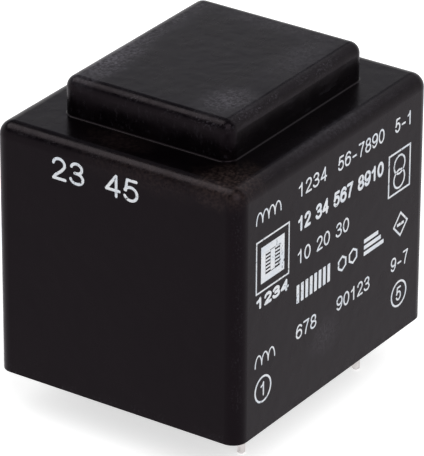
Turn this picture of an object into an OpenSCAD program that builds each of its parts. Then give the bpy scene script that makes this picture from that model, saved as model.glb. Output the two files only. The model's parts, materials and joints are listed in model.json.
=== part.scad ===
// Encapsulated mains transformer for a printed circuit board: an EI core with a two-chamber
// bobbin, hung upside down in a moulded case and potted in resin, with four solder pins.
// Origin: centre of the pin grid on the board. X runs along the pin rows, Z up, pins below zero.
// The front row (-Y) is the primary side, the rear row (+Y) the secondary side.

/* [Core] */
// Width of the core across its three legs
core_w = 30; // [28:0.5:38]
// Width of the leg that carries the coils
centre_leg = 10; // [8:0.5:12]
// Width of each outer leg
side_leg = 5; // [4:0.25:6]
// Width of the yoke and of the I sheets
yoke = 5; // [4:0.25:6]
// Length of the two windows
window_l = 15; // [12:0.5:20]
// Thickness of one sheet
sheet_t = 0.5; // [0.35:0.05:0.65]
// Number of sheets in the stack
sheets = 36; // [24:2:46]

/* [Bobbin] */
// Clearance between the centre leg and the tube
leg_gap = 0.15; // [0.1:0.05:0.3]
// Wall of the tube
tube_wall = 0.7; // [0.5:0.05:1]
// Corner radius outside the tube
tube_r = 0.5; // [0.3:0.1:0.8]
// Thickness of each end flange
flange_t = 0.8; // [0.6:0.05:1.2]
// Thickness of the wall between the two chambers
partition_t = 1; // [0.8:0.1:1.5]
// Corner radius of the flanges
flange_r = 1; // [0.5:0.1:2]
// Clearance between the flanges and the outer legs
window_gap = 0.2; // [0.1:0.05:0.4]
// Clearance between the end flanges and the yokes
end_gap = 0.15; // [0.1:0.05:0.3]
// Height of the flanges beyond the tape
flange_lip = 0.15; // [0.1:0.05:0.4]
// Width of the pin rail past the pin centres
rail_edge = 1.9; // [1.2:0.1:2.2]
// Chamfer on the ends of the pin rails
rail_chamfer = 0.6; // [0.3:0.1:1]
// Width of the wire grooves under the rails
groove_w = 0.9; // [0.6:0.1:1.4]
// Depth of the wire grooves
groove_h = 1.1; // [0.9:0.1:1.6]

/* [Windings] */
// Build of each coil over the tube
coil_build = 3; // [2:0.1:3.6]
// Thickness of the tape wrap
tape_t = 0.2; // [0.1:0.05:0.3]
// Diameter of the primary lead-out
primary_wire = 0.2; // [0.15:0.05:0.3]
// Diameter of the secondary wire
secondary_wire = 0.35; // [0.25:0.05:0.4]
// Bend radius of the lead-outs
wire_bend = 0.4; // [0.3:0.05:0.5]

/* [Pins] */
// Pitch along a row
pin_pitch = 5; // [4.5:0.1:5.08]
// Distance between the rows
row_gap = 20; // [18:0.1:21]
// Diameter of the free end
pin_d = 0.8; // [0.6:0.05:1]
// Length of the free end below the case
pin_free = 4.5; // [3:0.1:6]
// Chamfer at the tip
pin_tip = 0.15; // [0.1:0.05:0.25]
// Depth to which the round wire enters the resin
pin_entry = 0.1; // [0.05:0.05:0.2]
// Side of the coined square root
root_side = 0.7; // [0.5:0.05:0.9]
// Depth of the pins in the rail
root_depth = 3.4; // [2.5:0.1:3.6]
// Height of the room for the solder joints, from the board to the rails
solder_room = 2.2; // [2:0.1:3]
// Radius of a solder bead
bead_r = 1.2; // [1.1:0.05:1.5]
// Resin over and under a solder bead
bead_cover = 0.3; // [0.2:0.05:0.4]

/* [Case] */
// Clearance between the core and the walls
core_gap = 0.15; // [0.1:0.05:0.4]
// Thickness of the walls
wall = 1.1; // [0.8:0.05:1.5]
// Thickness of the shoulder and of the raised top
roof = 1.1; // [0.8:0.05:1.5]
// Clearance between the core and the shoulder
roof_gap = 0.5; // [0.2:0.05:1]
// Clearance between the bobbin and the raised top
dome_gap = 0.2; // [0.1:0.05:0.5]
// Clearance beside the coils in the raised top, along the pin rows
dome_side_gap = 0.45; // [0.2:0.05:0.8]
// Clearance at the flanges in the raised top, across the pin rows
dome_end_gap = 0.95; // [0.3:0.05:1.2]
// Radius of the upright corners
corner_r = 1.5; // [1.5:0.1:2]
// Radius of the shoulder's edge
edge_r = 1.45; // [0.5:0.05:1.45]
// Radius of the raised top's upright corners
dome_corner_r = 1.2; // [1.2:0.05:2]
// Radius of the raised top's edge
dome_edge_r = 1.15; // [0.4:0.05:1.15]
// Fillet at the foot of the raised top
foot_r = 0.15; // [0.1:0.05:0.5]
// Radius of the corners inside
inner_r = 0.4; // [0.2:0.05:0.4]

/* [Hidden] */
$fn = 48;
eps = 0.01;

// Core
window_w = (core_w - centre_leg - 2 * side_leg) / 2;
core_d = window_l + 2 * yoke;
stack_h = sheets * sheet_t;

// Bobbin: half widths of the tube, the coils, the tape and the flanges, in X and in Z
tube_in = [centre_leg / 2 + leg_gap, stack_h / 2 + leg_gap];
tube_out = tube_in + [tube_wall, tube_wall];
coil_out = tube_out + [coil_build, coil_build];
tape_out = coil_out + [tape_t, tape_t];
coil_r = tube_r + coil_build;
flange_out = [centre_leg / 2 + window_w - window_gap, tape_out[1] + flange_lip];
bobbin_y = window_l / 2 - end_gap;
chamber_y = bobbin_y - flange_t;

// Levels above the board
flange_rise = flange_out[1] - stack_h / 2;
core_z = solder_room + flange_rise;
mid_z = core_z + stack_h / 2;
shoulder_in = core_z + stack_h + roof_gap;
dome_in = mid_z + flange_out[1] + dome_gap;

// Pins: the grid has five places in a row, 1 to 5 in front and 10 down to 6 behind
row_y = row_gap / 2;
row_end = 2 * pin_pitch;
pin_at = [[-row_end, -row_y], [row_end, -row_y], [pin_pitch, row_y], [-pin_pitch, row_y]];
lead_wire = [primary_wire, primary_wire, secondary_wire, secondary_wire];
groove_x = pin_pitch / 2;
joint_z = solder_room / 2;
turn_room = solder_room - 2 * bead_cover - 0.4;

// Case
case_in = [core_w + 2 * core_gap, core_d + 2 * core_gap];
case_out = case_in + 2 * [wall, wall];
shoulder_h = shoulder_in + roof;
dome_in_size = [2 * (flange_out[0] + dome_side_gap), 2 * (bobbin_y + dome_end_gap)];
dome_out_size = dome_in_size + 2 * [wall, wall];
case_h = dome_in + roof;

// ---- shared shapes ----

// Rectangle with round corners, centred
module round_rect(size, r) {
    square([size[0] - 2 * r, size[1]], center = true);
    square([size[0], size[1] - 2 * r], center = true);
    for (x = [-1, 1], y = [-1, 1])
        translate([x * (size[0] / 2 - r), y * (size[1] / 2 - r)]) circle(r);
}

// Sweeps a profile round a rectangle with round corners. The profile's x runs outwards from
// the corner centres and its y runs up.
module around(size, r) {
    run = [size[0] / 2 - r, size[1] / 2 - r];
    for (half = [0, 180]) rotate([0, 0, half]) {
        translate([run[0], -run[1], 0]) rotate([90, 0, -90]) linear_extrude(2 * run[0]) children();
        translate([run[0], run[1], 0]) rotate([90, 0, 0]) linear_extrude(2 * run[1]) children();
        translate([run[0], run[1], 0]) rotate_extrude(angle = 90) children();
        translate([-run[0], run[1], 0]) rotate([0, 0, 90]) rotate_extrude(angle = 90) children();
    }
}

// Block with round upright corners and a round upper edge
module soft_block(size, h, r, edge) {
    linear_extrude(h - edge) round_rect(size, r);
    translate([0, 0, h - edge]) {
        linear_extrude(edge) square([size[0] - 2 * r, size[1] - 2 * r], center = true);
        around(size, r) {
            square([r - edge, edge]);
            translate([r - edge, 0]) intersection() {
                circle(edge);
                square(edge);
            }
        }
    }
}

// Block with round corners about the centre leg, from one place along it to another
module leg_block(half, r, y0, y1) {
    translate([0, y1, mid_z]) rotate([90, 0, 0]) linear_extrude(y1 - y0) round_rect(2 * half, r);
}

// Ring with round corners about the centre leg
module leg_ring(half_out, r_out, half_in, r_in, y0, y1) {
    translate([0, y1, mid_z]) rotate([90, 0, 0]) linear_extrude(y1 - y0) difference() {
        round_rect(2 * half_out, r_out);
        round_rect(2 * half_in, r_in);
    }
}

// ---- core ----

// One E sheet, its yoke in front
module e_sheet() {
    linear_extrude(sheet_t) translate([0, -yoke / 2]) difference() {
        square([core_w, core_d - yoke], center = true);
        for (side = [-1, 1])
            translate([side * (centre_leg + window_w) / 2, yoke / 2 + eps])
                square([window_w, window_l + 2 * eps], center = true);
    }
}

// One I sheet, at the front
module i_sheet() {
    translate([0, (yoke - core_d) / 2, sheet_t / 2]) cube([core_w, yoke, sheet_t], center = true);
}

// Every second sheet of the stack, from the given one
module every_second(first) {
    for (layer = [first : 2 : sheets - 1]) translate([0, 0, core_z + layer * sheet_t]) children();
}

module e_laminations_front() { color("#4a4c50") every_second(0) e_sheet(); }
module e_laminations_rear() { color("#54565a") every_second(1) rotate([0, 0, 180]) e_sheet(); }
module i_laminations_front() { color("#5d5f63") every_second(1) i_sheet(); }
module i_laminations_rear() { color("#66686c") every_second(0) rotate([0, 0, 180]) i_sheet(); }

// The space that the closed core and the bore of the bobbin take up
module core_space() {
    translate([0, 0, core_z]) linear_extrude(stack_h) difference() {
        square([core_w, core_d], center = true);
        for (side = [-1, 1])
            translate([side * (centre_leg + window_w) / 2, 0])
                square([window_w, window_l], center = true);
    }
    translate([0, 0, mid_z]) cube([2 * tube_in[0], window_l, 2 * tube_in[1]], center = true);
}

// ---- bobbin ----

// Rail under the rear yoke, which carries a row of pins
module rail() {
    half = row_end + rail_edge;
    depth = row_y + rail_edge - chamber_y;
    translate([0, chamber_y, solder_room]) linear_extrude(flange_rise)
        polygon([[-half, 0], [half, 0], [half, depth - rail_chamfer], [half - rail_chamfer, depth],
                 [rail_chamfer - half, depth], [-half, depth - rail_chamfer]]);
}

// Grooves that lead the wires from the rear chamber to the pins
module grooves() {
    for (side = [-1, 1])
        translate([side * groove_x - groove_w / 2, chamber_y - eps, solder_room - eps])
            cube([groove_w, row_y + groove_w - chamber_y, groove_h + eps]);
}

// Round holes at the places of both rows that have no pin
module spare_holes() {
    for (x = [-row_end : pin_pitch : row_end], y = [-row_y, row_y])
        if (len([for (at = pin_at) if (at == [x, y]) at]) == 0)
            translate([x, y, solder_room - eps]) cylinder(h = root_depth + eps, d = pin_d);
}

module bobbin() {
    color("#d8d2c0") difference() {
        union() {
            leg_block(tube_out, tube_r, -bobbin_y, bobbin_y);
            leg_block(flange_out, flange_r, chamber_y, bobbin_y);
            leg_block(flange_out, flange_r, -bobbin_y, -chamber_y);
            leg_block(flange_out, flange_r, -partition_t / 2, partition_t / 2);
            for (half = [0, 180]) rotate([0, 0, half]) rail();
        }
        translate([0, 0, mid_z])
            cube([2 * tube_in[0], 2 * bobbin_y + eps, 2 * tube_in[1]], center = true);
        for (half = [0, 180]) rotate([0, 0, half]) grooves();
        spare_holes();
        for (i = [0 : 3]) pin_root(i);
    }
}

// ---- pins ----

// Square root of a pin, coined from the round wire: it bites into the rail and holds the wraps
module pin_root(i) {
    translate([pin_at[i][0] - root_side / 2, pin_at[i][1] - root_side / 2, pin_entry])
        cube([root_side, root_side, solder_room + root_depth - pin_entry]);
}

// Round free end of a pin, with a chamfered tip
module pin_end(i) {
    translate([pin_at[i][0], pin_at[i][1], -pin_free]) {
        cylinder(h = pin_tip, d1 = pin_d - 2 * pin_tip, d2 = pin_d);
        translate([0, 0, pin_tip]) cylinder(h = pin_free + pin_entry - pin_tip, d = pin_d);
    }
}

module pin(i) {
    color("#c9c6bd") {
        pin_end(i);
        pin_root(i);
    }
}

module pin_1() { pin(0); }
module pin_5() { pin(1); }
module pin_7() { pin(2); }
module pin_9() { pin(3); }

// ---- windings ----

// Quarter bend of a wire, from the X axis to the Y axis about the origin
module bend(wire) {
    rotate_extrude(angle = 90) translate([wire_bend, 0]) circle(d = wire);
}

// Turns of a wire round a pin, drawn tight so that they merge
module wraps(wire) {
    turns = 2 * floor((turn_room / wire - 1) / 2 + eps) + 1;
    reach = root_side / sqrt(2) + wire / 2;
    rotate_extrude() {
        translate([0, -turns * wire / 2]) square([reach, turns * wire]);
        for (turn = [0 : turns - 1])
            translate([reach, (turn - (turns - 1) / 2) * wire]) circle(d = wire * 1.15);
    }
}

// End of a wire from the rear chamber, through a groove and along the rail to the pin at x
module lead(x, wire) {
    side = sign(x);
    out_z = mid_z - coil_out[1] + wire * 0.7;
    run = abs(x) - groove_x - wire_bend - root_side / sqrt(2);
    translate([side * groove_x, 0, 0]) {
        translate([0, chamber_y - wire, out_z]) rotate([-90, 0, 0])
            cylinder(h = row_y - wire_bend - chamber_y + wire, d = wire);
        translate([0, row_y - wire_bend, out_z - wire_bend]) rotate([90, 0, 90]) bend(wire);
        translate([0, row_y, joint_z + wire_bend]) cylinder(h = out_z - joint_z - 2 * wire_bend, d = wire);
        translate([side * wire_bend, row_y, joint_z + wire_bend])
            rotate([90, 0, 0]) rotate([0, 0, side > 0 ? 180 : -90]) bend(wire);
        translate([side * (wire_bend + run / 2), row_y, joint_z]) rotate([0, -90, 0])
            cylinder(h = run, d = wire, center = true);
    }
    translate([x, row_y, joint_z]) rotate([0, 0, side > 0 ? 180 : 0]) wraps(wire);
}

// Lead-out of the wire that ends on a pin
module lead_to(i) {
    half = pin_at[i][1] > 0 ? 1 : -1;
    rotate([0, 0, half > 0 ? 0 : 180]) lead(half * pin_at[i][0], lead_wire[i]);
}

// Coil in the rear chamber
module coil() {
    leg_ring(coil_out, coil_r, tube_out, tube_r, partition_t / 2, chamber_y);
}

module primary_winding() {
    color("#b5652c") difference() {
        union() {
            rotate([0, 0, 180]) coil();
            for (i = [0, 1]) lead_to(i);
        }
        for (i = [0, 1]) pin_root(i);
    }
}

module secondary_winding() {
    color("#c0712f") difference() {
        union() {
            coil();
            for (i = [2, 3]) lead_to(i);
        }
        for (i = [2, 3]) pin_root(i);
    }
}

// Insulating wrap over the coil in the rear chamber
module tape() {
    leg_ring(tape_out, coil_r + tape_t, coil_out, coil_r, partition_t / 2, chamber_y);
}

module primary_tape() { color("#d9b63a") rotate([0, 0, 180]) tape(); }
module secondary_tape() { color("#d9b63a") tape(); }

// ---- solder ----

// Bead round the wraps on a pin, cut off flat above and below
module bead(i) {
    translate([pin_at[i][0], pin_at[i][1], joint_z]) intersection() {
        sphere(bead_r);
        cube([3 * bead_r, 3 * bead_r, solder_room - 2 * bead_cover], center = true);
    }
}

module solder_joint(i) {
    color("#b9babb") difference() {
        bead(i);
        pin_root(i);
        lead_to(i);
    }
}

module solder_joint_1() { solder_joint(0); }
module solder_joint_5() { solder_joint(1); }
module solder_joint_7() { solder_joint(2); }
module solder_joint_9() { solder_joint(3); }

// ---- case and resin ----

// Everything inside the case, up to the shoulder and the raised top
module case_room(below) {
    translate([0, 0, -below]) linear_extrude(shoulder_in + below) round_rect(case_in, inner_r);
    translate([0, 0, shoulder_in - eps])
        linear_extrude(dome_in - shoulder_in + eps) round_rect(dome_in_size, inner_r);
}

// Fillet where the raised top meets the shoulder
module foot_fillet() {
    around(dome_out_size, dome_corner_r) translate([dome_corner_r - eps, -eps]) difference() {
        square(foot_r + eps);
        translate([foot_r + eps, foot_r + eps]) circle(foot_r);
    }
}

module case() {
    color("#26262a") difference() {
        union() {
            soft_block(case_out, shoulder_h, corner_r, edge_r);
            translate([0, 0, shoulder_h - edge_r])
                soft_block(dome_out_size, case_h - shoulder_h + edge_r, dome_corner_r, dome_edge_r);
            translate([0, 0, shoulder_h]) foot_fillet();
        }
        case_room(eps);
    }
}

// Fills all that the assembly leaves free, flush with the rim of the case
module potting_resin() {
    color("#3a3532") difference() {
        case_room(0);
        core_space();
        bobbin();
        for (half = [0, 180]) rotate([0, 0, half])
            leg_ring(tape_out, coil_r + tape_t, tube_out, tube_r, partition_t / 2, chamber_y);
        primary_winding();
        secondary_winding();
        for (i = [0 : 3]) {
            bead(i);
            pin_root(i);
            pin_end(i);
        }
    }
}

case();
potting_resin();
bobbin();
e_laminations_front();
e_laminations_rear();
i_laminations_front();
i_laminations_rear();
primary_winding();
secondary_winding();
primary_tape();
secondary_tape();
pin_1();
pin_5();
pin_7();
pin_9();
solder_joint_1();
solder_joint_5();
solder_joint_7();
solder_joint_9();
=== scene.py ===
"""Finishes, printed marks, resin edges and studio for a small resin-filled board transformer.

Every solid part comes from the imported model.  This script dresses each of them, adds the ink on
the two printed walls and the resin that clings to the pins, and stands the object on a pale floor.
Sizes are in millimetres until a mesh is placed; the scene itself is in metres.
"""

import json
import logging
import math
from dataclasses import dataclass
from enum import Enum
from typing import Callable, NamedTuple, Optional, Sequence, Union

import bpy
from bpy.types import Light, Material, Node, NodeSocket, NodeTree, Object
from mathutils import Matrix, Vector

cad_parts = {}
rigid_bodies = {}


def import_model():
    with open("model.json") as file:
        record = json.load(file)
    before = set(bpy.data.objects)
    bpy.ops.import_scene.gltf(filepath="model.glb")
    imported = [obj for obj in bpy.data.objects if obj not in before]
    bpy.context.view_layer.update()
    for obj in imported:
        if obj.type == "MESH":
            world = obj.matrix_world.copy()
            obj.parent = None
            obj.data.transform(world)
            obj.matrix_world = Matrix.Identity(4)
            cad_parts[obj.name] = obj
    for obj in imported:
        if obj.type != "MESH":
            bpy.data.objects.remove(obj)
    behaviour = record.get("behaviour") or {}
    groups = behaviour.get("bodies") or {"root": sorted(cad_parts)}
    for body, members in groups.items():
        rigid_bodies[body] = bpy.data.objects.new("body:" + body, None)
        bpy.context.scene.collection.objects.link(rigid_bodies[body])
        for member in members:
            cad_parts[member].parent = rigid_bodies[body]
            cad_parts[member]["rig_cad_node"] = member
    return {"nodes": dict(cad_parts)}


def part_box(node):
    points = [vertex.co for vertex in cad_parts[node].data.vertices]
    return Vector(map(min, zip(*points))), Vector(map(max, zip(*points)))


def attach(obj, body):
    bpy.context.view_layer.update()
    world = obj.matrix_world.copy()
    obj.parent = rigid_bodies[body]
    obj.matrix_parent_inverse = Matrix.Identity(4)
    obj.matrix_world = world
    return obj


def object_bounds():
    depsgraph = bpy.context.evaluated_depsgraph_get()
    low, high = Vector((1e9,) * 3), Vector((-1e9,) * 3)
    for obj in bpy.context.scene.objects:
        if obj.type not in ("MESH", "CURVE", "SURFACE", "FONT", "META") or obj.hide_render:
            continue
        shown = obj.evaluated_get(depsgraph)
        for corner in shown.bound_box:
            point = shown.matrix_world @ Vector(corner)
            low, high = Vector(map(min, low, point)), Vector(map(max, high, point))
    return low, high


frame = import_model()
CAD_BOX = [list(corner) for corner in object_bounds()]

MM = 0.001
SWELL_RATIO = 3.7
SWELL_SHARE = 0.35
HAZE = (0.1, 0.094, 0.11)
# Warm brown dust, which also serves as a painted warm highlight along the left shoulder edge.
WARM_DUST_AND_SHEEN = (0.05, 0.034, 0.03)
log = logging.getLogger("board_transformer")

Colour = tuple[float, float, float]
Value = Union[float, NodeSocket]
Place = tuple[float, float, float]
Path = list[tuple[float, float]]


# ---------------------------------------------------------------- node trees


class Graph:
    """A node tree that is being filled, with short ways to add and join nodes."""

    def __init__(self, tree: NodeTree) -> None:
        """Keeps the tree that is filled.

        Args:
            tree: the tree of a material, a world or a node group.
        """
        self.tree = tree

    def add(self, kind: str, **settings: object) -> Node:
        """Adds a node.

        Args:
            kind: the node's type name.
            **settings: properties to set on the node.

        Returns:
            The new node.
        """
        node = self.tree.nodes.new(kind)
        for name, value in settings.items():
            setattr(node, name, value)
        return node

    def feed(self, socket: NodeSocket, value: object) -> None:
        """Joins a socket to another socket, or sets its own value.

        Args:
            socket: the input socket.
            value: an output socket, a number or a colour.
        """
        if isinstance(value, NodeSocket):
            self.tree.links.new(value, socket)
        else:
            socket.default_value = value

    def calc(self, operation: str, *values: Value, clamp: bool = False) -> NodeSocket:
        """Adds a Math node.

        Args:
            operation: the operation's name.
            *values: its numbers or sockets.
            clamp: whether the result stays between 0 and 1.

        Returns:
            The result's socket.
        """
        node = self.add("ShaderNodeMath", operation=operation, use_clamp=clamp)
        for socket, value in zip(node.inputs, values):
            self.feed(socket, value)
        return node.outputs[0]

    def times(self, first: Value, second: Value) -> NodeSocket:
        """Multiplies two numbers or sockets."""
        return self.calc("MULTIPLY", first, second)

    def plus(self, first: Value, second: Value) -> NodeSocket:
        """Adds two numbers or sockets."""
        return self.calc("ADD", first, second)

    def vector(self, operation: str, *values: object) -> NodeSocket:
        """Adds a Vector Math node whose result is a vector.

        Args:
            operation: the operation's name.
            *values: vectors or sockets for its first inputs.

        Returns:
            The result's socket.
        """
        node = self.add("ShaderNodeVectorMath", operation=operation)
        for socket, value in zip(node.inputs, values):
            self.feed(socket, value)
        return node.outputs["Vector"]

    def span(self, value: Value, low: float, high: float, to_low: float = 0.0,
             to_high: float = 1.0) -> NodeSocket:
        """Maps a range of values smoothly onto another range.

        Args:
            value: the value.
            low: the start of its range.
            high: the end of its range, which may be below the start.
            to_low: what the start becomes.
            to_high: what the end becomes.

        Returns:
            The mapped value's socket.
        """
        node = self.add("ShaderNodeMapRange", interpolation_type="SMOOTHSTEP")
        if high < low:
            low, high, to_low, to_high = high, low, to_high, to_low
        for socket, item in zip(node.inputs, (value, low, high, to_low, to_high)):
            self.feed(socket, item)
        return node.outputs[0]

    def noise(self, place: NodeSocket, size: Value, detail: float = 2.0,
              stretch: Optional[Place] = None) -> NodeSocket:
        """Adds a Noise Texture.

        Args:
            place: coordinates in millimetres.
            size: the size of its blotches in millimetres.
            detail: how many finer layers it has.
            stretch: how many times longer the blotches are along each axis.

        Returns:
            Its value's socket, around 0.5.
        """
        if stretch is not None:
            place = self.vector("DIVIDE", place, stretch)
        node = self.add("ShaderNodeTexNoise")
        self.feed(node.inputs["Vector"], place)
        self.feed(node.inputs["Scale"],
                  self.calc("DIVIDE", 1.0, size) if isinstance(size, NodeSocket) else 1 / size)
        node.inputs["Detail"].default_value = detail
        return node.outputs[0]

    def blend(self, share: Value, first: object, second: object) -> NodeSocket:
        """Mixes two colours.

        Args:
            share: how much of the second colour there is.
            first: a colour or a socket.
            second: a colour or a socket.

        Returns:
            The mixed colour's socket.
        """
        node = self.add("ShaderNodeMix", data_type="RGBA")
        self.feed(node.inputs[0], share)
        for socket, value in ((node.inputs[6], first), (node.inputs[7], second)):
            self.feed(socket, value if isinstance(value, NodeSocket) else (*value, 1.0))
        return node.outputs[2]

    def millimetres(self) -> NodeSocket:
        """Gives the object's own coordinates, in millimetres."""
        place = self.add("ShaderNodeTexCoord").outputs["Object"]
        node = self.add("ShaderNodeVectorMath", operation="SCALE")
        self.feed(node.inputs[0], place)
        node.inputs["Scale"].default_value = 1 / MM
        return node.outputs["Vector"]

    def shader(self, kind: str, *values: object) -> NodeSocket:
        """Adds a shader node.

        Args:
            kind: the last part of the node's type name.
            *values: colours, numbers or sockets for its first inputs.

        Returns:
            The shader's socket.
        """
        node = self.add(f"ShaderNode{kind}")
        for socket, value in zip(node.inputs, values):
            self.feed(socket, value)
        return node.outputs[0]

    def rays(self) -> tuple[NodeSocket, NodeSocket]:
        """Tells two kinds of ray: those seen straight by the camera, and reflected ones."""
        path = self.add("ShaderNodeLightPath").outputs
        return self.calc("MAXIMUM", path["Is Camera Ray"],
                         path["Is Transmission Ray"]), path["Is Glossy Ray"]

    def axes(self, place: NodeSocket) -> tuple[NodeSocket, NodeSocket, NodeSocket]:
        """Splits coordinates into X, Y and Z.

        Args:
            place: the coordinates.

        Returns:
            The three sockets.
        """
        node = self.add("ShaderNodeSeparateXYZ")
        self.feed(node.inputs[0], place)
        return node.outputs[0], node.outputs[1], node.outputs[2]


class Effect:
    """A shader node group that several finishes share."""

    def __init__(self, name: str, inputs: dict[str, object], output: str,
                 fill: Callable[[Graph, dict[str, NodeSocket]], NodeSocket]) -> None:
        """Builds the group once.

        Args:
            name: the group's name.
            inputs: its input names with their first values.
            output: the name of its one output.
            fill: adds the nodes inside and returns the socket that is put out.
        """
        tree = bpy.data.node_groups.new(name, "ShaderNodeTree")
        for label, value in inputs.items():
            kind = "NodeSocketVector" if isinstance(value, tuple) else "NodeSocketFloat"
            socket = tree.interface.new_socket(name=label, in_out="INPUT", socket_type=kind)
            socket.default_value = value
        tree.interface.new_socket(name=output, in_out="OUTPUT", socket_type="NodeSocketFloat")
        graph = Graph(tree)
        entry = graph.add("NodeGroupInput")
        leave = graph.add("NodeGroupOutput")
        sockets = {label: entry.outputs[label] for label in inputs}
        graph.feed(leave.inputs[output], fill(graph, sockets))
        self.tree = tree

    def use(self, graph: Graph, **values: object) -> NodeSocket:
        """Places the group in a tree.

        Args:
            graph: the tree that gets it.
            **values: its inputs by name, with _ for a space.

        Returns:
            The group's output socket.
        """
        node = graph.add("ShaderNodeGroup", node_tree=self.tree)
        for name, value in values.items():
            graph.feed(node.inputs[name.replace("_", " ")], value)
        return node.outputs[0]


class Effects:
    """The shared effects: grain, worn edges, dust and soft spots, for wear and for a painted warm
    highlight.
    """

    def __init__(self) -> None:
        """Builds the four groups."""
        zero = (0.0, 0.0, 0.0)
        self.grain = Effect("grain", {"Place": zero, "Size": 0.3}, "Height", self._grain)
        self.edges = Effect("worn_edges", {"Place": zero, "Low Corner": zero,
                                           "High Corner": zero, "Width": 1.0}, "Mask", self._edges)
        self.dust = Effect("dust", {"Place": zero, "Spacing": 2.0, "Speck": 0.1}, "Mask",
                           self._dust)
        self.spot = Effect("rub_and_sheen_spot", {"Place": zero, "Centre": zero,
                                           "Reach": (1.0, 1.0, 1.0)}, "Mask", self._spot)

    @staticmethod
    def _grain(graph: Graph, given: dict[str, NodeSocket]) -> NodeSocket:
        """Fills the grain group: fine bumps over a coarser, shallower swell.

        Args:
            graph: the group's tree.
            given: its input sockets.

        Returns:
            The height's socket.
        """
        fine = graph.noise(given["Place"], given["Size"], 1.5)
        swell = graph.noise(given["Place"], graph.times(given["Size"], SWELL_RATIO), 1.0)
        return graph.plus(graph.times(fine, 1 - SWELL_SHARE), graph.times(swell, SWELL_SHARE))

    @staticmethod
    def _edges(graph: Graph, given: dict[str, NodeSocket]) -> NodeSocket:
        """Fills the edge group: 1 on the edges of a box, fading away from them.

        On the box's skin the nearest of the three side distances is 0, so the middle one
        says how far the nearest edge is.

        Args:
            graph: the group's tree.
            given: its input sockets.

        Returns:
            The mask's socket.
        """
        low = graph.vector("SUBTRACT", given["Place"], given["Low Corner"])
        high = graph.vector("SUBTRACT", given["High Corner"], given["Place"])
        x, y, z = graph.axes(graph.vector("ABSOLUTE", graph.vector("MINIMUM", low, high)))
        total = graph.plus(graph.plus(x, y), z)
        least = graph.calc("MINIMUM", graph.calc("MINIMUM", x, y), z)
        most = graph.calc("MAXIMUM", graph.calc("MAXIMUM", x, y), z)
        middle = graph.calc("SUBTRACT", graph.calc("SUBTRACT", total, least), most)
        near = graph.calc("DIVIDE", middle, given["Width"])
        return graph.span(near, 1.0, 0.0)

    @staticmethod
    def _dust(graph: Graph, given: dict[str, NodeSocket]) -> NodeSocket:
        """Fills the dust group: scattered specks of uneven size.

        Args:
            graph: the group's tree.
            given: its input sockets.

        Returns:
            The mask's socket.
        """
        cells = graph.add("ShaderNodeTexVoronoi")
        graph.feed(cells.inputs["Scale"], graph.calc("DIVIDE", 1.0, given["Spacing"]))
        wobble = graph.noise(given["Place"], 0.35, 1.0)
        graph.feed(cells.inputs["Vector"], given["Place"])
        chance = graph.axes(cells.outputs["Color"])[0]
        reach = graph.times(graph.calc("POWER", chance, 4.0), given["Speck"])
        gap = graph.times(cells.outputs["Distance"], given["Spacing"])
        gap = graph.times(gap, graph.plus(wobble, 0.5))
        return graph.span(graph.calc("SUBTRACT", reach, gap), 0.0, 0.05)

    @staticmethod
    def _spot(graph: Graph, given: dict[str, NodeSocket]) -> NodeSocket:
        """Fills the spot group: an oval cloud that fades outwards.

        Args:
            graph: the group's tree.
            given: its input sockets.

        Returns:
            The mask's socket.
        """
        away = graph.vector("SUBTRACT", given["Place"], given["Centre"])
        away = graph.vector("DIVIDE", away, given["Reach"])
        length = graph.add("ShaderNodeVectorMath", operation="LENGTH")
        graph.feed(length.inputs[0], away)
        ragged = graph.noise(given["Place"], 1.4, 3.0)
        edge = graph.plus(length.outputs["Value"], graph.times(ragged, 0.6))
        return graph.span(edge, 1.35, 0.35)


# ------------------------------------------------------------------ finishes


class Canvas(NamedTuple):
    """What a finish draws on: its tree, the shared groups and coordinates in millimetres."""

    graph: Graph
    effects: Effects
    place: NodeSocket


class Surface(NamedTuple):
    """What a finish's pattern gives to its shader."""

    colour: NodeSocket
    roughness: NodeSocket
    height: NodeSocket


@dataclass(frozen=True)
class Finish:
    """A surface whose colour drifts a little over a fine grain.

    Sizes and the grain's depth are in millimetres.
    """

    name: str
    colour: Colour
    drift: Colour
    drift_size: float = 2.0
    roughness: float = 0.5
    roughness_drift: float = 0.1
    metallic: float = 0.0
    specular: float = 0.5
    specular_tint: Colour = (1.0, 1.0, 1.0)
    grain_size: float = 0.3
    grain_depth: float = 0.004

    def build(self, effects: Effects) -> Material:
        """Makes the material.

        Args:
            effects: the shared node groups.

        Returns:
            The material.
        """
        material = bpy.data.materials.new(self.name)
        material.use_nodes = True
        graph = Graph(material.node_tree)
        shader = material.node_tree.nodes["Principled BSDF"]
        shader.inputs["Metallic"].default_value = self.metallic
        shader.inputs["Specular IOR Level"].default_value = self.specular
        shader.inputs["Specular Tint"].default_value = (*self.specular_tint, 1)
        surface = self.pattern(Canvas(graph, effects, graph.millimetres()))
        graph.feed(shader.inputs["Base Color"], surface.colour)
        graph.feed(shader.inputs["Roughness"], surface.roughness)
        bump = graph.add("ShaderNodeBump")
        bump.inputs["Strength"].default_value = 1.0
        bump.inputs["Distance"].default_value = self.grain_depth * MM
        graph.feed(bump.inputs["Height"], surface.height)
        graph.feed(shader.inputs["Normal"], bump.outputs[0])
        self.finish_shader(shader)
        return material

    def pattern(self, canvas: Canvas) -> Surface:
        """Draws the colour, roughness and height.

        Args:
            canvas: what it draws on.

        Returns:
            The three sockets for the shader.
        """
        graph, effects, place = canvas
        cloud = graph.noise(place, self.drift_size, 3.0)
        colour = graph.blend(graph.span(cloud, 0.3, 0.7), self.colour, self.drift)
        roughness = graph.span(cloud, 0.25, 0.75, self.roughness - self.roughness_drift / 2,
                               self.roughness + self.roughness_drift / 2)
        grain = effects.grain.use(graph, Place=place, Size=self.grain_size)
        return Surface(colour, roughness, grain)

    def finish_shader(self, shader: Node) -> None:
        """Sets what only this finish has on its shader.

        Args:
            shader: the Principled BSDF.
        """


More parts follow.
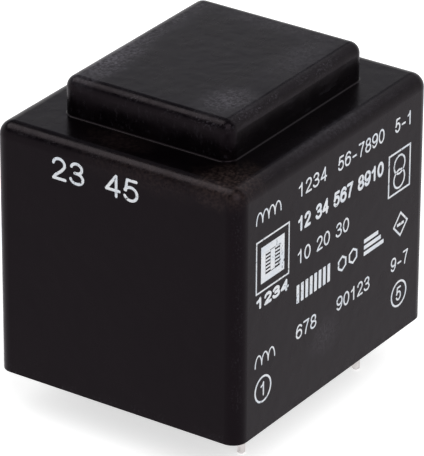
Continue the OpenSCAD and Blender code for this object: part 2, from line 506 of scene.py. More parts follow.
@dataclass(frozen=True)
class RubAndSheen:
    """A lightened patch. With the cool haze it is wear from handling; with the warm tint it is warm
    dust and also a painted warm highlight.
    """

    centre: Place
    reach: Place
    strength: float
    tint: Colour = HAZE


@dataclass(frozen=True)
class HousingPlastic(Finish):
    """Black moulded plastic with hazy patches from handling, warm dust that also paints a warm
    highlight on the left shoulder, greyed edges, fine streaks and a little dust.
    """

    cap_low: Place = (-11.35, -9.4, 20.0)
    cap_high: Place = (11.35, 9.4, 29.9)
    body_low: Place = (-16.25, -13.75, 0.0)
    body_high: Place = (16.25, 13.75, 26.0)
    shoulder: float = 26.2
    edge_width: float = 1.3
    wave_size: float = 1.5
    wave_height: float = 3.5
    worn_haze: float = 0.55
    grazed_haze: float = 0.25
    streak_haze: float = 0.06
    dust_haze: float = 0.3
    dulling: float = 0.16
    rubs_and_sheen: tuple[RubAndSheen, ...] = ()

    def pattern(self, canvas: Canvas) -> Surface:
        """Draws the hazy patches and the painted warm highlight, the edges, streaks and dust over
        the plain plastic.

        Args:
            canvas: what it draws on.

        Returns:
            The three sockets for the shader.
        """
        graph, effects, place = canvas
        plain = super().pattern(canvas)
        height = graph.axes(place)[2]
        on_cap = graph.span(height, self.shoulder, self.shoulder + 0.3)
        cap = effects.edges.use(graph, Place=place, Low_Corner=self.cap_low,
                                High_Corner=self.cap_high, Width=self.edge_width)
        body = effects.edges.use(graph, Place=place, Low_Corner=self.body_low,
                                 High_Corner=self.body_high, Width=self.edge_width)
        speckle = graph.span(graph.noise(place, 0.16, 2.0), 0.52, 0.72)
        patches = graph.span(graph.noise(place, 3.2, 2.0), 0.4, 0.62)
        cap = graph.times(cap, on_cap)
        worn = graph.times(cap, graph.times(speckle, patches))
        grazed = graph.times(graph.times(body, speckle), self.grazed_haze)
        haze = graph.plus(graph.times(worn, self.worn_haze), graph.times(grazed, patches))
        streak = graph.span(graph.noise(place, 0.3, 2.0, stretch=(7.0, 1.0, 2.0)), 0.55, 0.75,
                            0.0, self.streak_haze)
        haze = graph.plus(haze, graph.times(on_cap, streak))
        specks = effects.dust.use(graph, Place=place, Spacing=2.6, Speck=0.16)
        haze = graph.calc("ADD", haze, graph.times(specks, self.dust_haze), clamp=True)
        colour = graph.blend(haze, plain.colour, HAZE)
        mottle = graph.span(graph.noise(place, 0.3, 3.0), 0.35, 0.7, 0.3, 1.5)
        # Each patch lightens the colour: the cool ones are haze from handling, the warm ones are
        # warm dust together with a painted warm highlight on the left shoulder.
        for rub_and_sheen in self.rubs_and_sheen:
            spot = effects.spot.use(graph, Place=place, Centre=rub_and_sheen.centre, Reach=rub_and_sheen.reach)
            spot = graph.times(spot, graph.times(mottle, rub_and_sheen.strength))
            colour = graph.blend(spot, colour, rub_and_sheen.tint)
        roughness = graph.plus(plain.roughness, graph.times(haze, 0.2))
        dulled = graph.span(graph.noise(place, 0.8, 3.0), 0.42, 0.62, 0.0, self.dulling)
        edge = graph.calc("MAXIMUM", cap, body)
        roughness = graph.plus(roughness, graph.times(edge, dulled))
        wave = graph.times(graph.noise(place, self.wave_size, 1.0), self.wave_height)
        return Surface(colour, roughness, graph.plus(plain.height, wave))


@dataclass(frozen=True)
class PrintInk(Finish):
    """Thin printed ink, with pinholes where the plastic shows through."""

    under: Colour = (0.02, 0.02, 0.022)

    def pattern(self, canvas: Canvas) -> Surface:
        """Draws the ink with its pinholes and faint edges.

        Args:
            canvas: what it draws on.

        Returns:
            The three sockets for the shader.
        """
        graph, _, place = canvas
        plain = super().pattern(canvas)
        thin = graph.times(graph.span(graph.noise(place, 0.3, 3.0), 0.56, 0.72),
                          graph.span(graph.noise(place, 2.5, 1.0), 0.42, 0.62))
        return Surface(graph.blend(thin, plain.colour, self.under), plain.roughness, plain.height)


@dataclass(frozen=True)
class TinnedWire(Finish):
    """Dull tin over drawn wire, with lengthwise drawing lines and grey oxide."""

    oxide: Colour = (0.32, 0.31, 0.29)
    line_height: float = 0.7
    grain_share: float = 0.5

    def pattern(self, canvas: Canvas) -> Surface:
        """Draws the tin, the drawing lines and the oxide.

        Args:
            canvas: what it draws on.

        Returns:
            The three sockets for the shader.
        """
        graph, _, place = canvas
        plain = super().pattern(canvas)
        lines = graph.noise(place, 0.06, 2.0, stretch=(1.0, 1.0, 30.0))
        stain = graph.span(graph.noise(place, 0.8, 3.0), 0.5, 0.75, 0.0, 0.7)
        colour = graph.blend(stain, plain.colour, self.oxide)
        roughness = graph.plus(plain.roughness, graph.times(stain, 0.15))
        height = graph.plus(graph.times(lines, self.line_height),
                            graph.times(plain.height, self.grain_share))
        return Surface(colour, roughness, height)


@dataclass(frozen=True)
class CastResin(Finish):
    """Poured epoxy: slow swells, tiny air pits and a film of dust."""

    swell_height: float = 12.0
    pit_depth: float = 4.0
    dust: Colour = (0.2, 0.19, 0.17)

    def pattern(self, canvas: Canvas) -> Surface:
        """Draws the swells and pits.

        Args:
            canvas: what it draws on.

        Returns:
            The three sockets for the shader.
        """
        graph, effects, place = canvas
        plain = super().pattern(canvas)
        pits = effects.dust.use(graph, Place=place, Spacing=1.9, Speck=0.4)
        swell = graph.noise(place, 6.0, 2.0)
        height = graph.plus(graph.calc("SUBTRACT", graph.times(swell, self.swell_height),
                                       graph.times(pits, self.pit_depth)), plain.height)
        specks = effects.dust.use(graph, Place=place, Spacing=1.1, Speck=0.12)
        colour = graph.blend(graph.times(specks, 0.5), plain.colour, self.dust)
        return Surface(colour, plain.roughness, height)


@dataclass(frozen=True)
class RolledSteel(Finish):
    """Silicon-steel sheet: rolling streaks, blue-grey oxide and brown at the cut edges."""

    rust: Colour = (0.12, 0.055, 0.025)
    low: Place = (-15.0, -12.5, 6.4)
    high: Place = (15.0, 12.5, 24.4)
    rust_width: float = 1.6

    def pattern(self, canvas: Canvas) -> Surface:
        """Draws the streaks, and the rust along the edges of the stack.

        Args:
            canvas: what it draws on.

        Returns:
            The three sockets for the shader.
        """
        graph, effects, place = canvas
        plain = super().pattern(canvas)
        streak = graph.noise(place, 0.12, 2.0, stretch=(12.0, 1.0, 1.0))
        edge = effects.edges.use(graph, Place=place, Low_Corner=self.low, High_Corner=self.high,
                                 Width=self.rust_width)
        rust = graph.times(edge, graph.span(graph.noise(place, 0.9, 4.0), 0.42, 0.62))
        colour = graph.blend(rust, plain.colour, self.rust)
        roughness = graph.plus(plain.roughness, graph.times(rust, 0.35))
        return Surface(colour, roughness, graph.plus(plain.height, streak))


@dataclass(frozen=True)
class ClearCoated(Finish):
    """A finish under a clear layer: enamel on copper, adhesive film, or flux on solder."""

    coat: float = 0.6
    coat_roughness: float = 0.12
    see_through: float = 0.0

    def finish_shader(self, shader: Node) -> None:
        """Adds the clear layer.

        Args:
            shader: the Principled BSDF.
        """
        shader.inputs["Coat Weight"].default_value = self.coat
        shader.inputs["Coat Roughness"].default_value = self.coat_roughness
        shader.inputs["Transmission Weight"].default_value = self.see_through


class Finishes:
    """Every material of the object, built once."""

    def __init__(self, effects: Effects) -> None:
        """Builds the materials.

        Args:
            effects: the shared node groups.
        """
        rubs_and_sheen = (
            RubAndSheen((-6.0, 8.0, 29.9), (8.0, 3.2, 1.5), 0.5),
            RubAndSheen((4.0, 8.4, 29.9), (12.0, 2.6, 1.5), 0.25),
            RubAndSheen((-7.0, -6.2, 29.9), (4.2, 3.2, 1.5), 0.35),
            RubAndSheen((5.0, -6.4, 29.9), (8.0, 3.0, 1.5), 0.14),
            RubAndSheen((9.6, 0.0, 29.9), (2.2, 9.0, 1.5), 0.15),
            RubAndSheen((-1.5, -13.75, 5.6), (3.6, 1.5, 2.8), 0.16),
            RubAndSheen((1.0, -13.0, 26.0), (13.0, 1.2, 1.0), 0.12),
            # The three warm patches below are brown dust specks, and also a painted warm highlight
            # along the left shoulder's edge and ledge.
            RubAndSheen((-14.6, -11.5, 26.0), (5.5, 4.5, 2.5), 0.4, WARM_DUST_AND_SHEEN),
            RubAndSheen((-16.0, -4.0, 25.2), (1.6, 11.0, 2.2), 0.16, WARM_DUST_AND_SHEEN),
            RubAndSheen((-13.0, 2.0, 26.0), (2.6, 5.0, 1.0), 0.1, WARM_DUST_AND_SHEEN),
        )
        self.housing = HousingPlastic(
            "black_housing_plastic", (0.0006, 0.0002, 0.0005), (0.001, 0.0004, 0.0008), 3.0,
            0.25, 0.1, specular=0.12, specular_tint=(1.0, 0.8, 0.93), grain_size=0.22,
            grain_depth=0.005, rubs_and_sheen=rubs_and_sheen).build(effects)
        self.ink = PrintInk("white_print", (0.86, 0.88, 0.91), (0.76, 0.81, 0.88), 1.2,
                            0.55, grain_size=0.12, grain_depth=0.002).build(effects)
        self.tin = TinnedWire("dull_tin", (0.72, 0.71, 0.68), (0.62, 0.61, 0.58), 0.6, 0.34, 0.12,
                              metallic=1.0, grain_size=0.08, grain_depth=0.002).build(effects)
        self.resin = CastResin("potting_resin_black", (0.008, 0.0078, 0.0082),
                               (0.014, 0.0135, 0.014), 4.0, 0.2, 0.12, specular=0.4,
                               grain_size=0.15, grain_depth=0.0015).build(effects)
        self.bobbin = Finish("natural_nylon", (0.62, 0.57, 0.46), (0.7, 0.66, 0.56), 3.0, 0.45,
                             grain_size=0.1, grain_depth=0.002).build(effects)
        self.steel = RolledSteel("core_sheet_steel", (0.16, 0.17, 0.19), (0.24, 0.24, 0.25), 1.5,
                                 0.38, metallic=0.9, grain_size=0.15,
                                 grain_depth=0.003).build(effects)
        self.copper = ClearCoated("enamelled_copper", (0.62, 0.2, 0.07), (0.5, 0.14, 0.045), 0.8,
                                  0.3, metallic=0.9, grain_size=0.1,
                                  grain_depth=0.0015).build(effects)
        self.tape = ClearCoated("yellow_tape_film", (0.7, 0.5, 0.07), (0.62, 0.41, 0.05), 2.0, 0.3,
                                grain_size=0.3, grain_depth=0.004, coat=0.5).build(effects)
        self.solder = ClearCoated("bright_solder", (0.75, 0.75, 0.73), (0.62, 0.62, 0.6), 0.7,
                                  0.22, metallic=1.0, grain_size=0.12, grain_depth=0.003,
                                  coat=0.3, coat_roughness=0.2).build(effects)


# ------------------------------------------------------------- modelling aids


def deselect_all() -> None:
    """Clears the selection, so that an operator acts only on the piece in hand."""
    bpy.ops.object.select_all(action="DESELECT")


def take(piece: Object) -> Object:
    """Makes one object the only one selected, and the active one.

    Args:
        piece: the object.

    Returns:
        The same object.
    """
    deselect_all()
    piece.select_set(True)
    bpy.context.view_layer.objects.active = piece
    return piece


def move_mesh(piece: Object, matrix: Matrix) -> Object:
    """Moves a piece's mesh and leaves its object at the origin.

    Args:
        piece: the object.
        matrix: where the mesh goes.

    Returns:
        The same object.
    """
    take(piece)
    bpy.ops.object.transform_apply(location=True, rotation=True, scale=True)
    piece.data.transform(matrix)
    piece.data.update()
    return piece


def close_shell(piece: Object, gap: float = 0.0005) -> Object:
    """Merges doubles and points every face outwards.

    Args:
        piece: the object.
        gap: how near two points are when they become one.

    Returns:
        The same object.
    """
    take(piece)
    bpy.ops.object.mode_set(mode="EDIT")
    bpy.ops.mesh.select_all(action="SELECT")
    bpy.ops.mesh.remove_doubles(threshold=gap)
    bpy.ops.mesh.normals_make_consistent(inside=False)
    bpy.ops.object.mode_set(mode="OBJECT")
    return piece


def join(pieces: Sequence[Object], name: str) -> Object:
    """Joins pieces into one mesh.

    Args:
        pieces: the objects, of which the first stays.
        name: the joined object's name.

    Returns:
        The joined object.
    """
    take(pieces[0])
    for piece in pieces:
        piece.select_set(True)
    if len(pieces) > 1:
        bpy.ops.object.join()
    joined = bpy.context.object
    joined.name = joined.data.name = name
    return joined


def dress(piece: Object, material: Material) -> Object:
    """Gives an object one material, whatever it held.

    Args:
        piece: the object.
        material: its only material.

    Returns:
        The same object.
    """
    if piece.data.materials:
        for index in range(len(piece.data.materials)):
            piece.data.materials[index] = material
    else:
        piece.data.materials.append(material)
    return piece


# ------------------------------------------------------------------ the parts


def arc(x: float, y: float, wide: float, tall: float, start: float, end: float,
        steps: int = 18) -> Path:
    """Gives points along part of an oval.

    Args:
        x: its middle, to the right.
        y: its middle, upwards.
        wide: its half width.
        tall: its half height.
        start: the first angle in degrees, from the right and turning left.
        end: the last angle.
        steps: how many steps there are.

    Returns:
        The points.
    """
    turns = (math.radians(start + (end - start) * step / steps) for step in range(steps + 1))
    return [(x + wide * math.cos(turn), y + tall * math.sin(turn)) for turn in turns]


def turned(paths: Sequence[Path]) -> list[Path]:
    """Turns a digit upside down in its unit box.

    Args:
        paths: its paths.

    Returns:
        The turned paths.
    """
    return [[(1 - x, 1 - y) for x, y in path] for path in paths]


SIX = [arc(0.5, 0.31, 0.5, 0.31, 180, -180, 28),
       arc(0.56, 0.46, 0.56, 0.54, 42, 180) + [(0.0, 0.31)]]
DIGITS: dict[str, list[Path]] = {
    "0": [arc(0.5, 0.5, 0.5, 0.5, 180, -180, 32)],
    "1": [[(0.14, 0.74), (0.4, 0.8), (0.55, 0.9), (0.62, 1.0)], [(0.62, 1.0), (0.62, 0.0)]],
    "2": [arc(0.5, 0.72, 0.45, 0.28, 172, -28) + [(0.66, 0.4), (0.25, 0.18), (0.05, 0.0)],
          [(0.05, 0.0), (0.98, 0.0)]],
    "3": [arc(0.48, 0.76, 0.42, 0.24, 165, -90), arc(0.48, 0.26, 0.5, 0.26, 90, -165),
          [(0.34, 0.52), (0.48, 0.52)]],
    "4": [[(0.76, 0.0), (0.76, 1.0), (0.0, 0.28), (1.0, 0.28)]],
    "5": [[(0.9, 1.0), (0.2, 1.0), (0.08, 0.47)], arc(0.46, 0.33, 0.5, 0.33, 152, -155)],
    "6": SIX,
    "7": [[(0.02, 1.0), (0.98, 1.0)], [(0.98, 1.0), (0.66, 0.62), (0.46, 0.3), (0.36, 0.0)]],
    "8": [arc(0.5, 0.76, 0.42, 0.24, 180, -180, 24), arc(0.5, 0.26, 0.5, 0.26, 180, -180, 24)],
    "9": turned(SIX),
    "-": [[(0.15, 0.36), (0.85, 0.36)]],
}


@dataclass
class Housing:
    """The moulded case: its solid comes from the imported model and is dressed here."""

    node: str = "case"

    def dress(self, finishes: Finishes) -> Object:
        """Dresses the case.

        Args:
            finishes: the object's materials.

        Returns:
            The case's object.
        """
        return dress(frame["nodes"][self.node], finishes.housing)


class Wall(Enum):
    """The two walls that carry print."""

    FRONT = "front"
    LEFT = "left"

    def place(self, low: Vector) -> Matrix:
        """Gives the matrix from print coordinates to the wall.

        Print runs to the right along X and upwards along Y, and Z stands out of the wall.
        The coordinates are in millimetres, and the matrix turns them into metres.

        Args:
            low: the lowest corner of the case, in metres.

        Returns:
            The matrix.
        """
        if self is Wall.FRONT:
            right, out, start = Vector((1, 0, 0)), Vector((0, -1, 0)), Vector((0, low.y, 0))
        else:
            right, out, start = Vector((0, -1, 0)), Vector((-1, 0, 0)), Vector((low.x, 0, 0))
        turn = Matrix((right, Vector((0, 0, 1)), out)).transposed().to_4x4()
        return Matrix.Translation(start) @ turn @ Matrix.Scale(MM, 4)


class Box(NamedTuple):
    """A rectangle of print: its left side, its foot, its width and its height."""

    left: float
    foot: float
    width: float
    height: float


@dataclass
class Line:
    """A line of plain numbers: its left end, its foot, its size and the width of its pen."""

    digits: str
    left: float
    foot: float
    width: float
    height: float
    stroke: float = 0.19


@dataclass
class Ink:
    """Thin flat shapes of ink, drawn flat and lifted to their thickness."""

    thickness: float = 0.024
    sunk: float = 0.012
    stroke: float = 0.17
    digit_gap: float = 0.42
    space: float = 0.55
    easing: float = 0.15

    def lift(self, piece: Object) -> Object:
        """Gives a flat shape its thickness, partly below the wall's skin.

        Args:
            piece: a flat mesh in print coordinates, in edit mode.

        Returns:
            The object, closed and in object mode.
        """
        bpy.ops.mesh.select_all(action="SELECT")
        bpy.ops.mesh.extrude_region_move(
            TRANSFORM_OT_translate={"value": (0, 0, self.thickness)})
        bpy.ops.mesh.select_all(action="SELECT")
        bpy.ops.transform.translate(value=(0, 0, -self.sunk))
        bpy.ops.object.mode_set(mode="OBJECT")
        return close_shell(piece)

    def pen(self, paths: Sequence[Path], stroke: Optional[float] = None) -> Object:
        """Draws paths with a round pen, as low raised lines.

        Args:
            paths: lists of points in print coordinates; one that ends where it starts is closed.
            stroke: the pen's width.

        Returns:
            The lines' mesh.
        """
        stroke = stroke or self.stroke
        deselect_all()
        bpy.ops.curve.primitive_bezier_curve_add()
        curve = bpy.context.object.data
        curve.splines.clear()
        curve.dimensions = "3D"
        curve.twist_mode = "Z_UP"
        curve.bevel_depth = stroke / 2
        curve.bevel_resolution = 2
        curve.use_fill_caps = True
        for path in paths:
            for run in self._runs(path):
                closed = math.dist(run[0], run[-1]) < 1e-6
                spots = [(x, y, 1.0) for x, y in run[:-1]] if closed else self._rounded(run, stroke)
                line = curve.splines.new("POLY")
                line.points.add(len(spots) - 1)
                line.use_cyclic_u = closed
                for point, (x, y, radius) in zip(line.points, spots):
                    point.co = (x, y, 0, 1)
                    point.radius = radius
        bpy.ops.object.convert(target="MESH")
        piece = bpy.context.object
        flat = Matrix.Diagonal((1, 1, self.thickness / stroke, 1))
        return close_shell(move_mesh(piece, flat), 0.0002)

    @staticmethod
    def _runs(path: Path, sharpest: float = 40.0) -> list[Path]:
        """Cuts a path where it turns sharply, so that each run bends gently.

        Args:
            path: the points.
            sharpest: the largest bend that a run keeps, in degrees.

        Returns:
            The runs.
        """
        runs, start = [], 0
        for index in range(1, len(path) - 1):
            before = Vector(path[index]) - Vector(path[index - 1])
            after = Vector(path[index + 1]) - Vector(path[index])
            if math.degrees(before.angle(after)) > sharpest:
                runs.append(path[start:index + 1])
                start = index
        return runs + [path[start:]]

    @staticmethod
    def _rounded(run: Path, stroke: float) -> list[Place]:
        """Adds round ends to a run.

        Args:
            run: the points.
            stroke: the pen's width.

        Returns:
            The points, each with its share of the pen's width.
        """
        first, second = Vector(run[0]), Vector(run[1])
        last, before = Vector(run[-1]), Vector(run[-2])
        back, ahead = (first - second).normalized(), (last - before).normalized()
        caps = [(math.sin(math.radians(turn)) * stroke / 2, math.cos(math.radians(turn)))
                for turn in (80, 58, 30)]
        head = [(*(first + back * reach), radius) for reach, radius in caps]
        tail = [(*(last + ahead * reach), radius) for reach, radius in reversed(caps)]
        return head + [(x, y, 1.0) for x, y in run] + tail

    def number(self, line: Line) -> Object:
        """Draws a line of digits and fits it to its place.

        Args:
            line: what it says, where it stands and its pen.

        Returns:
            The digits' mesh.
        """
        paths: list[Path] = []
        slots = [self.space if mark == " " else 1.0 for mark in line.digits]
        units = sum(slots) + self.digit_gap * (len(slots) - 1)
        wide = (line.width - line.stroke) / units
        tall = line.height - line.stroke
        at = line.left + line.stroke / 2
        for mark, slot in zip(line.digits, slots):
            for path in DIGITS.get(mark, ()):
                paths.append([(at + x * wide, line.foot + line.stroke / 2 + y * tall)
                              for x, y in path])
            at += (slot + self.digit_gap) * wide
        return self.pen(paths, line.stroke)

    def ring(self, x: float, y: float, radius: float, stroke: Optional[float] = None,
             corners: int = 72) -> Object:
        """Draws a ring, or a hollow shape with straight sides.

        Args:
            x: the middle, to the right.
            y: the middle, upwards.
            radius: from the middle to the outer corners.
            stroke: the width of its line.
            corners: how many sides it has.

        Returns:
            The ring's mesh.
        """
        deselect_all()
        bpy.ops.mesh.primitive_circle_add(vertices=corners, radius=radius, fill_type="NGON",
                                          location=(x, y, 0))
        piece = bpy.context.object
        bpy.ops.object.transform_apply(location=True)
        bpy.ops.object.mode_set(mode="EDIT")
        return self._outline(piece, stroke)

    def frame(self, box: Box, stroke: Optional[float] = None) -> Object:
        """Draws a rectangle's outline.

        Args:
            box: its place and size.
            stroke: the width of its line.

        Returns:
            The outline's mesh.
        """
        return self._outline(self._sheet(box), stroke)

    def bar(self, box: Box) -> Object:
        """Draws a filled bar with eased corners.

        Args:
            box: its place and size.

        Returns:
            The bar's mesh.
        """
        piece = self._sheet(box)
        bpy.ops.mesh.bevel(offset=min(box.width, box.height) * self.easing, segments=3,
                           affect="VERTICES")
        return self.lift(piece)

    def coil(self, left: float, foot: float, width: float, turns: int,
             height: float = 1.25) -> Object:
        """Draws a winding's sign: a row of arches.

        Args:
            left: its left end.
            foot: its foot.
            width: its whole width.
            turns: how many arches it has.
            height: how tall the arches are.

        Returns:
            The sign's mesh.
        """
        reach = (width - self.stroke) / turns / 2
        start = left + self.stroke / 2
        arches = [arc(start + reach * (2 * turn + 1), foot + self.stroke / 2, reach,
                      height - self.stroke, 180, 0) for turn in range(turns)]
        return self.pen(arches)

    def _outline(self, piece: Object, stroke: Optional[float]) -> Object:
        """Keeps only the rim of a flat shape and gives it its thickness.

        Args:
            piece: the shape, in edit mode with its face selected.
            stroke: the rim's width, or None for the usual one.

        Returns:
            The rim's mesh.
        """
        bpy.ops.mesh.inset(thickness=stroke or self.stroke, depth=0)
        bpy.ops.mesh.delete(type="FACE")
        return self.lift(piece)

    @staticmethod
    def _sheet(box: Box) -> Object:
        """Starts a flat rectangle and leaves it in edit mode.

        Args:
            box: its place and size.

        Returns:
            The rectangle, all of it selected.
        """
        deselect_all()
        bpy.ops.mesh.primitive_plane_add(size=1, location=(
            box.left + box.width / 2, box.foot + box.height / 2, 0))
        piece = bpy.context.object
        piece.scale = (box.width, box.height, 1)
        bpy.ops.object.transform_apply(location=True, scale=True)
        bpy.ops.object.mode_set(mode="EDIT")
        bpy.ops.mesh.select_all(action="SELECT")
        return piece


@dataclass
class Marking:
    """The print on the case: plain numbers, winding signs and plain shapes."""

    ink: Ink
    digit: float = 1.5
    thin: float = 0.205
    bold: float = 0.33

    def front_numbers(self) -> list[Object]:
        """Draws the rows of numbers on the front wall.

        Returns:
            The rows' meshes.
        """
        rows = (
            Line("1234", -6.6, 21.75, 4.9, self.digit, self.thin),
            Line("56-7890", 0.2, 21.75, 8.05, self.digit, self.thin),
            Line("5-1", 10.15, 21.75, 3.0, self.digit, self.thin),
            Line("12 34 567 8910", -6.6, 18.25, 14.85, 1.6, self.bold),
            Line("1234", -13.46, 13.05, 5.5, 1.25, self.bold),
            Line("10 20 30", -6.6, 14.9, 8.9, self.digit, self.thin),
            Line("678", -6.6, 7.04, 3.5, self.digit, self.thin),
            Line("90123", 0.35, 7.04, 5.85, self.digit, self.thin),
            Line("9-7", 9.95, 7.04, 3.1, self.digit, self.thin),
        )
        return [self.ink.number(row) for row in rows]

    def pin_numbers(self) -> list[Object]:
        """Draws the two ringed pin numbers on the front wall.

        Returns:
            The rings and digits.
        """
        made = []
        for digit, x, y, wide in (("1", -12.1, 4.46, 1.0), ("5", 11.5, 4.25, 0.95)):
            made.append(self.ink.ring(x, y, 1.4, self.thin))
            made.append(self.ink.number(Line(digit, x - wide / 2, y - 0.75, wide, self.digit,
                                             self.thin)))
        return made

    def front_signs(self) -> list[Object]:
        """Draws the winding signs, the framed core and the plain shapes on the front wall.

        Returns:
            The shapes' meshes.
        """
        ink = self.ink
        signs = [ink.coil(-13.5, 21.75, 4.2, 4), ink.coil(-13.5, 7.04, 3.4, 3)]
        signs += self._core_sign(Box(-13.46, 14.67, 5.54, 5.41))
        signs += [ink.frame(Box(9.1, 15.3, 3.95, 4.5), 0.2), ink.ring(11.07, 18.25, 1.05, 0.2),
                  ink.ring(11.07, 16.75, 1.05, 0.2)]
        signs += [ink.bar(Box(-6.6 + 0.75 * step, 10.9, 0.45, 1.9)) for step in range(8)]
        signs += [ink.ring(1.2, 11.85, 0.85, 0.22, 6), ink.ring(3.1, 11.85, 0.85, 0.22, 6)]
        signs += [ink.bar(Box(5.0, 11.0 + 0.66 * step, 3.5 - 0.5 * step, 0.42))
                  for step in range(3)]
        signs += [ink.ring(11.5, 11.75, 1.35, 0.2, 4), ink.bar(Box(10.9, 11.6, 1.2, 0.3))]
        return signs

    def _core_sign(self, box: Box) -> list[Object]:
        """Draws a framed core with its coil, as a plain picture of what is inside.

        Args:
            box: the frame's place and size.

        Returns:
            The shapes' meshes.
        """
        ink = self.ink
        edge, limb, gap = 0.85, 0.72, 0.08
        wire, pitch = 0.17, 0.37
        inside, tall = box.width - 2 * edge, box.height - 2 * edge
        middle, window_foot = box.left + box.width / 2, box.foot + edge + limb
        made = [ink.frame(box, wire),
                ink.frame(Box(box.left + edge, box.foot + edge, inside, tall), limb),
                ink.bar(Box(middle - limb / 2, window_foot + gap, limb,
                            tall - 2 * limb - 2 * gap))]
        window = (inside - 3 * limb) / 2
        for side in (-1, 1):
            left = middle + side * (window + limb) / 2 - window / 2 + 0.05
            made += [ink.bar(Box(left, window_foot + 0.22 + pitch * turn, window - 0.1, wire))
                     for turn in range(6)]
        return made

    def left_numbers(self) -> list[Object]:
        """Draws the two thin numbers high on the left wall.

        Returns:
            The numbers' meshes.
        """
        return [self.ink.number(Line("23", -7.1, 22.0, 3.75, 2.35, 0.31)),
                self.ink.number(Line("45", -1.05, 22.0, 3.8, 2.35, 0.31))]

    def build(self, finishes: Finishes) -> list[Object]:
        """Draws all the print and lays it on the walls.

        Args:
            finishes: the object's materials.

        Returns:
            The four print pieces.
        """
        low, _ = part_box("case")
        plan = (("print_front_numbers", Wall.FRONT, self.front_numbers()),
                ("print_pin_numbers", Wall.FRONT, self.pin_numbers()),
                ("print_front_signs", Wall.FRONT, self.front_signs()),
                ("print_left_numbers", Wall.LEFT, self.left_numbers()))
        made = []
        for name, wall, shapes in plan:
            piece = move_mesh(join(shapes, name), wall.place(low))
            dress(piece, finishes.ink)
            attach(piece, "root")
            made.append(piece)
        return made


@dataclass
class Pins:
    """The four pins, and the resin that climbs a little way down each of them."""

    names: tuple[str, ...] = ("pin_1", "pin_5", "pin_7", "pin_9")
    climb: float = 0.16
    spread: float = 0.3
    bite: float = 0.02
    rise: float = 0.04
    steps: int = 48

    def dress(self, finishes: Finishes) -> list[Object]:
        """Dresses the pins and adds their resin collars.

        Args:
            finishes: the object's materials.

        Returns:
            The four collars.
        """
        made = []
        for name in self.names:
            pin = dress(frame["nodes"][name], finishes.tin)
            low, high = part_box(pin["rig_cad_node"])
            collar = self._collar((low + high) / 2, (high.x - low.x) / 2 / MM, name)
            dress(collar, finishes.resin)
            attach(collar, "root")
            made.append(collar)
        return made

    def _collar(self, middle: Vector, radius: float, name: str) -> Object:
        """Models one collar: a ring of resin with a hollow flank.

        Args:
            middle: the pin's middle, in metres.
            radius: the pin's radius, in millimetres.
            name: the pin's name.

        Returns:
            The collar.
        """
        deselect_all()
        bpy.ops.mesh.primitive_circle_add(vertices=self.steps, radius=radius + self.spread,
                                          fill_type="NOTHING")
        piece = bpy.context.object
        bpy.ops.object.mode_set(mode="EDIT")
        bpy.ops.mesh.select_all(action="SELECT")
        outer, last = radius + self.spread, 0.0
        for angle in (22.5, 45.0, 67.5, 90.0):
            turn = math.radians(angle)
            reach = radius - self.bite + (self.spread + self.bite) * (1 - math.sin(turn))
            drop = -self.climb * (1 - math.cos(turn))
            bpy.ops.mesh.extrude_region_move()
            bpy.ops.transform.resize(value=(reach / outer, reach / outer, 1))
            bpy.ops.transform.translate(value=(0, 0, drop - last))
            outer, last = reach, drop
        bpy.ops.mesh.extrude_region_move(
            TRANSFORM_OT_translate={"value": (0, 0, self.climb + self.rise)})
        bpy.ops.mesh.select_all(action="SELECT")
        bpy.ops.mesh.normals_make_consistent(inside=False)
        bpy.ops.object.mode_set(mode="OBJECT")
        piece.name = piece.data.name = f"resin_collar_{name[4:]}"
        bpy.ops.object.shade_smooth_by_angle(angle=math.radians(50))
        place = Matrix.Translation((middle.x, middle.y, 0)) @ Matrix.Scale(MM, 4)
        return move_mesh(piece, place)


@dataclass
class Works:
    """Everything that the resin holds: core, bobbin, windings, tape and solder joints."""

    def dress(self, finishes: Finishes) -> dict[str, str]:
        """Dresses each inner part.

        Args:
            finishes: the object's materials.

        Returns:
            The material's name by node.
        """
        plan = {"potting_resin": finishes.resin, "bobbin": finishes.bobbin}
        for name in frame["nodes"]:
            if "laminations" in name:
                plan[name] = finishes.steel
            elif "winding" in name:
                plan[name] = finishes.copper
            elif "tape" in name:
                plan[name] = finishes.tape
            elif name.startswith("solder"):
                plan[name] = finishes.solder
        for name, material in plan.items():
            dress(frame["nodes"][name], material)
        return {name: material.name for name, material in plan.items()}


# ----------------------------------------------------------------- the studio


class Role(Enum):
    """What a lamp is for: all light, only the matt light, or only the gloss."""

    ALL = "all"
    MATT = "matt"
    GLOSS = "gloss"


@dataclass(frozen=True)
class SoftBox:
    """A soft lamp: where it stands, its width and height, and how strong it is."""

    name: str
    direction: Place
    distance: float
    size: tuple[float, float]
    power: float
    role: Role = Role.ALL
    colour: Colour = (1.0, 1.0, 1.0)


